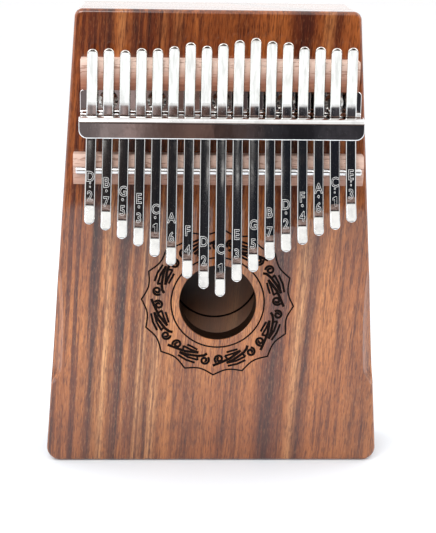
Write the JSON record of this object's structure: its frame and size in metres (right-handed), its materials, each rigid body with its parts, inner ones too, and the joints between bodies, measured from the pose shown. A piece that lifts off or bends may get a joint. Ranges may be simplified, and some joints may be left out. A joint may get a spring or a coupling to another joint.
{
  "type": "mbira",
  "caption": "Thumb piano: sprung steel tines with upturned tips, clamped by a slotted bent bracket over a rod bridge on a hollow tapered wooden sound box.",
  "frame": {"origin": "centre of the flat bottom end face that the instrument stands on, midway between the front and back faces", "axes": "+Z along the length towards the head end, +X to the right seen from the front, the soundboard with its tines faces -Y and the back board faces +Y"},
  "size_m": [0.1362, 0.0535, 0.185],
  "materials": {
    "lacquered_wood": "striped hardwood under clear gloss lacquer",
    "bar_wood": "pinkish hardwood, satin",
    "chromed_sheet": "mirror chrome on bent sheet",
    "rod_steel": "polished rod",
    "screw_steel": "nickel-plated screw",
    "tine_steel": "polished spring steel with engraved notes"
  },
  "bodies": {
    "sound_box": {"front_board": "lacquered_wood", "back_board": "lacquered_wood", "left_rail": "lacquered_wood", "right_rail": "lacquered_wood", "head_block": "lacquered_wood", "foot_block": "lacquered_wood", "rear_bar": "bar_wood", "front_bridge": "bar_wood", "bridge_rod": "rod_steel", "pressure_bracket": "chromed_sheet", "bracket_screws": "screw_steel"},
    "tine_d6_strip": {"tine_d6": "tine_steel"},
    "tine_b5_strip": {"tine_b5": "tine_steel"},
    "tine_g5_strip": {"tine_g5": "tine_steel"},
    "tine_e5_strip": {"tine_e5": "tine_steel"},
    "tine_c5_strip": {"tine_c5": "tine_steel"},
    "tine_a4_strip": {"tine_a4": "tine_steel"},
    "tine_f4_strip": {"tine_f4": "tine_steel"},
    "tine_d4_strip": {"tine_d4": "tine_steel"},
    "tine_c4_strip": {"tine_c4": "tine_steel"},
    "tine_e4_strip": {"tine_e4": "tine_steel"},
    "tine_g4_strip": {"tine_g4": "tine_steel"},
    "tine_b4_strip": {"tine_b4": "tine_steel"},
    "tine_d5_strip": {"tine_d5": "tine_steel"},
    "tine_f5_strip": {"tine_f5": "tine_steel"},
    "tine_a5_strip": {"tine_a5": "tine_steel"},
    "tine_c6_strip": {"tine_c6": "tine_steel"},
    "tine_e6_strip": {"tine_e6": "tine_steel"}
  },
  "joints": [
    {"name": "press_d6", "type": "hinge", "parent": "sound_box", "child": "tine_d6_strip", "pos_m": [-0.04902, -0.0268, 0.1238], "axis": [1, 0, 0], "range_deg": [0, 2], "stiffness_Nm_per_rad": 0.3},
    {"name": "press_b5", "type": "hinge", "parent": "sound_box", "child": "tine_b5_strip", "pos_m": [-0.04272, -0.0268, 0.1238], "axis": [1, 0, 0], "range_deg": [0, 2], "stiffness_Nm_per_rad": 0.3},
    {"name": "press_g5", "type": "hinge", "parent": "sound_box", "child": "tine_g5_strip", "pos_m": [-0.03641, -0.0268, 0.1238], "axis": [1, 0, 0], "range_deg": [0, 2], "stiffness_Nm_per_rad": 0.3},
    {"name": "press_e5", "type": "hinge", "parent": "sound_box", "child": "tine_e5_strip", "pos_m": [-0.03011, -0.0268, 0.1238], "axis": [1, 0, 0], "range_deg": [0, 2], "stiffness_Nm_per_rad": 0.3},
    {"name": "press_c5", "type": "hinge", "parent": "sound_box", "child": "tine_c5_strip", "pos_m": [-0.02381, -0.0268, 0.1238], "axis": [1, 0, 0], "range_deg": [0, 2], "stiffness_Nm_per_rad": 0.3},
    {"name": "press_a4", "type": "hinge", "parent": "sound_box", "child": "tine_a4_strip", "pos_m": [-0.01751, -0.0268, 0.1238], "axis": [1, 0, 0], "range_deg": [0, 2], "stiffness_Nm_per_rad": 0.3},
    {"name": "press_f4", "type": "hinge", "parent": "sound_box", "child": "tine_f4_strip", "pos_m": [-0.0112, -0.0268, 0.1238], "axis": [1, 0, 0], "range_deg": [0, 2], "stiffness_Nm_per_rad": 0.3},
    {"name": "press_d4", "type": "hinge", "parent": "sound_box", "child": "tine_d4_strip", "pos_m": [-0.0049, -0.0268, 0.1238], "axis": [1, 0, 0], "range_deg": [0, 2], "stiffness_Nm_per_rad": 0.3},
    {"name": "press_c4", "type": "hinge", "parent": "sound_box", "child": "tine_c4_strip", "pos_m": [0.0014, -0.0268, 0.1238], "axis": [1, 0, 0], "range_deg": [0, 2], "stiffness_Nm_per_rad": 0.3},
    {"name": "press_e4", "type": "hinge", "parent": "sound_box", "child": "tine_e4_strip", "pos_m": [0.0077, -0.0268, 0.1238], "axis": [1, 0, 0], "range_deg": [0, 2], "stiffness_Nm_per_rad": 0.3},
    {"name": "press_g4", "type": "hinge", "parent": "sound_box", "child": "tine_g4_strip", "pos_m": [0.014, -0.0268, 0.1238], "axis": [1, 0, 0], "range_deg": [0, 2], "stiffness_Nm_per_rad": 0.3},
    {"name": "press_b4", "type": "hinge", "parent": "sound_box", "child": "tine_b4_strip", "pos_m": [0.02031, -0.0268, 0.1238], "axis": [1, 0, 0], "range_deg": [0, 2], "stiffness_Nm_per_rad": 0.3},
    {"name": "press_d5", "type": "hinge", "parent": "sound_box", "child": "tine_d5_strip", "pos_m": [0.02661, -0.0268, 0.1238], "axis": [1, 0, 0], "range_deg": [0, 2], "stiffness_Nm_per_rad": 0.3},
    {"name": "press_f5", "type": "hinge", "parent": "sound_box", "child": "tine_f5_strip", "pos_m": [0.03291, -0.0268, 0.1238], "axis": [1, 0, 0], "range_deg": [0, 2], "stiffness_Nm_per_rad": 0.3},
    {"name": "press_a5", "type": "hinge", "parent": "sound_box", "child": "tine_a5_strip", "pos_m": [0.03921, -0.0268, 0.1238], "axis": [1, 0, 0], "range_deg": [0, 2], "stiffness_Nm_per_rad": 0.3},
    {"name": "press_c6", "type": "hinge", "parent": "sound_box", "child": "tine_c6_strip", "pos_m": [0.04551, -0.0268, 0.1238], "axis": [1, 0, 0], "range_deg": [0, 2], "stiffness_Nm_per_rad": 0.3},
    {"name": "press_e6", "type": "hinge", "parent": "sound_box", "child": "tine_e6_strip", "pos_m": [0.05182, -0.0268, 0.1238], "axis": [1, 0, 0], "range_deg": [0, 2], "stiffness_Nm_per_rad": 0.3}
  ]
}
